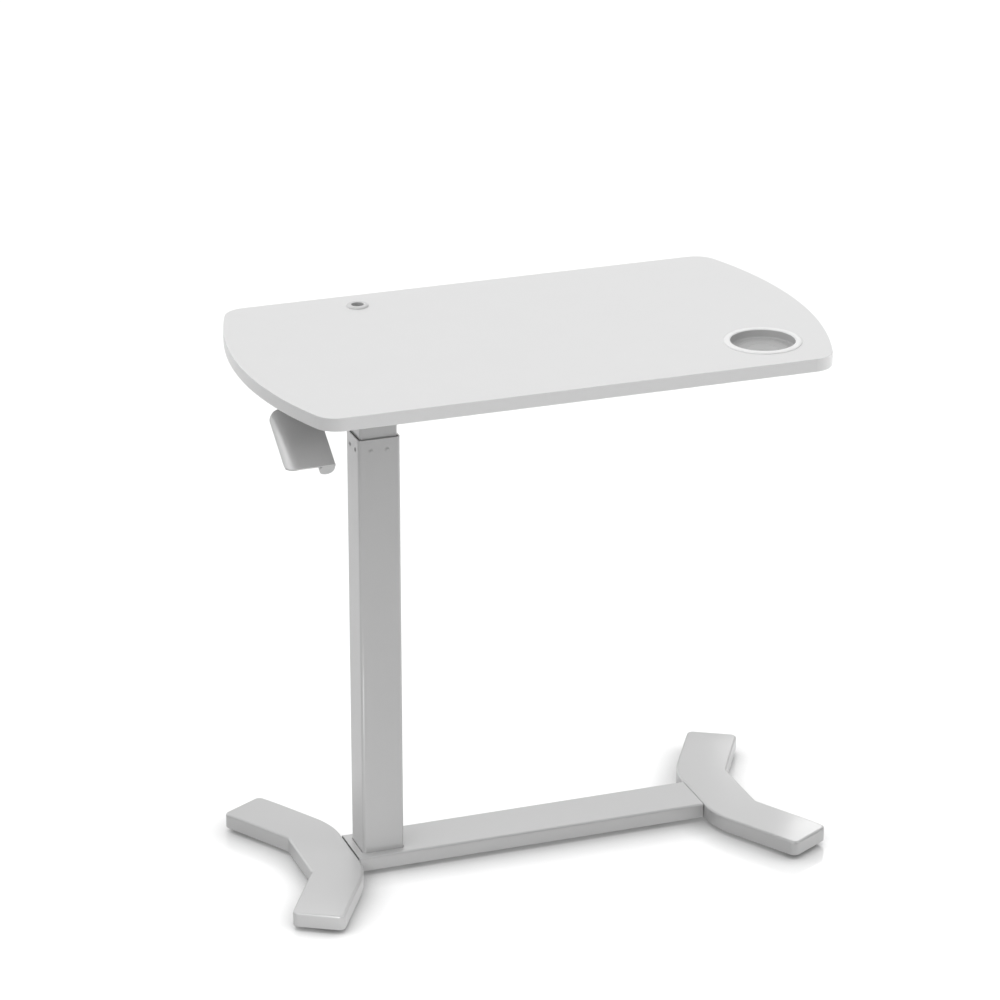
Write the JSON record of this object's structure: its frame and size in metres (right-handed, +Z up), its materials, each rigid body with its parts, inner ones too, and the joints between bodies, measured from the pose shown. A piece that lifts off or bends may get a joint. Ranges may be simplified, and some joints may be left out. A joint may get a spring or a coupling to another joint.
{
  "type": "overbed table",
  "caption": "Mobile overbed table: a rounded worktop on a gas-spring column near its end, beam base with chevron feet and hidden casters, release paddle, cup recess and cable hole.",
  "frame": {"origin": "on the floor, under the centre of the worktop", "axes": "+X along the beam away from the column, +Y towards the back edge with the cable hole, +Z up"},
  "size_m": [0.6998, 0.4, 0.6636],
  "materials": {
    "top_laminate": "white laminate, semi-gloss",
    "silver_paint": "light grey powder coat, satin",
    "white_plastic": "moulded, semi-gloss",
    "grey_plastic": "moulded, satin",
    "bracket_paint": "grey powder coat, satin",
    "fixings": "zinc plated",
    "black_plastic": "matte",
    "spring_black": "gloss black",
    "chrome_rod": "hard chrome",
    "caster_steel": "zinc plated",
    "wheel_rubber": "matte"
  },
  "bodies": {
    "base": {"beam_tube": "silver_paint", "column_base_plate": "bracket_paint", "right_joint_plate": "bracket_paint", "beam_bolts": "fixings", "foot_bolts": "fixings", "left_foot_cover": "silver_paint", "right_foot_cover": "silver_paint", "left_foot_frame": "bracket_paint", "right_foot_frame": "bracket_paint", "left_joint_spacer": "bracket_paint", "right_joint_spacer": "bracket_paint", "cover_screws": "fixings", "outer_column": "silver_paint", "upper_guide_bush": "black_plastic", "column_rivets": "silver_paint", "gas_cylinder": "spring_black", "gas_rod_guide": "spring_black", "gas_jam_nut": "fixings", "caster_king_pins": "fixings", "caster_washers": "black_plastic"},
    "lift": {"tabletop": "top_laminate", "cup_holder": "white_plastic", "cable_grommet": "grey_plastic", "top_plate": "bracket_paint", "support_rail_front": "bracket_paint", "support_rail_rear": "bracket_paint", "top_screws": "fixings", "inner_column": "silver_paint", "lower_glide": "black_plastic", "head_bracket": "bracket_paint", "gas_rod": "chrome_rod", "gas_piston": "chrome_rod", "gas_rod_nuts": "fixings"},
    "lever": {"release_paddle": "silver_paint", "lever_shaft": "fixings", "lever_cam": "fixings", "shaft_clips": "fixings"},
    "release": {"release_pin": "fixings"},
    "swivel_rear_left": {"caster_fork_rear_left": "caster_steel", "caster_axle_rear_left": "caster_steel"},
    "wheel_rear_left": {"caster_wheel_rear_left": "wheel_rubber"},
    "swivel_rear_right": {"caster_fork_rear_right": "caster_steel", "caster_axle_rear_right": "caster_steel"},
    "wheel_rear_right": {"caster_wheel_rear_right": "wheel_rubber"},
    "swivel_front_left": {"caster_fork_front_left": "caster_steel", "caster_axle_front_left": "caster_steel"},
    "wheel_front_left": {"caster_wheel_front_left": "wheel_rubber"},
    "swivel_front_right": {"caster_fork_front_right": "caster_steel", "caster_axle_front_right": "caster_steel"},
    "wheel_front_right": {"caster_wheel_front_right": "wheel_rubber"}
  },
  "joints": [
    {"name": "column_lift", "type": "slide", "parent": "base", "child": "lift", "axis": [0, 0, 1], "range_m": [0, 0.36]},
    {"name": "lever_pivot", "type": "hinge", "parent": "lift", "child": "lever", "pos_m": [-0.19, -0.02, 0.6213], "axis": [-1, 0, 0], "range_deg": [0, 8], "stiffness_Nm_per_rad": 1, "springref_deg": -8.59},
    {"name": "release_press", "type": "slide", "parent": "lift", "child": "release", "axis": [0, 0, -1], "range_m": [0, 0.003], "stiffness_N_per_m": 200, "springref_m": -0.002},
    {"name": "swivel_rear_left", "type": "hinge", "parent": "base", "child": "swivel_rear_left", "pos_m": [-0.304, 0.13637, 0.018], "axis": [0, 0, 1], "continuous": true},
    {"name": "roll_rear_left", "type": "hinge", "parent": "swivel_rear_left", "child": "wheel_rear_left", "pos_m": [-0.31246, 0.13945, 0.0082], "axis": [-0.342, -0.9397, 0], "continuous": true},
    {"name": "swivel_rear_right", "type": "hinge", "parent": "base", "child": "swivel_rear_right", "pos_m": [0.304, 0.13637, 0.018], "axis": [0, 0, 1], "continuous": true},
    {"name": "roll_rear_right", "type": "hinge", "parent": "swivel_rear_right", "child": "wheel_rear_right", "pos_m": [0.31137, 0.14154, 0.0082], "axis": [-0.5736, 0.8192, 0], "continuous": true},
    {"name": "swivel_front_left", "type": "hinge", "parent": "base", "child": "swivel_front_left", "pos_m": [-0.304, -0.13637, 0.018], "axis": [0, 0, 1], "continuous": true},
    {"name": "roll_front_left", "type": "hinge", "parent": "swivel_front_left", "child": "wheel_front_left", "pos_m": [-0.30092, -0.14483, 0.0082], "axis": [0.9397, 0.342, 0], "continuous": true},
    {"name": "swivel_front_right", "type": "hinge", "parent": "base", "child": "swivel_front_right", "pos_m": [0.304, -0.13637, 0.018], "axis": [0, 0, 1], "continuous": true},
    {"name": "roll_front_right", "type": "hinge", "parent": "swivel_front_right", "child": "wheel_front_right", "pos_m": [0.2995, -0.14417, 0.0082], "axis": [0.866, -0.5, 0], "continuous": true}
  ],
  "couplings": [
    {"joint": "release_press", "follows": "lever_pivot", "m_per_rad": 0.021}
  ]
}
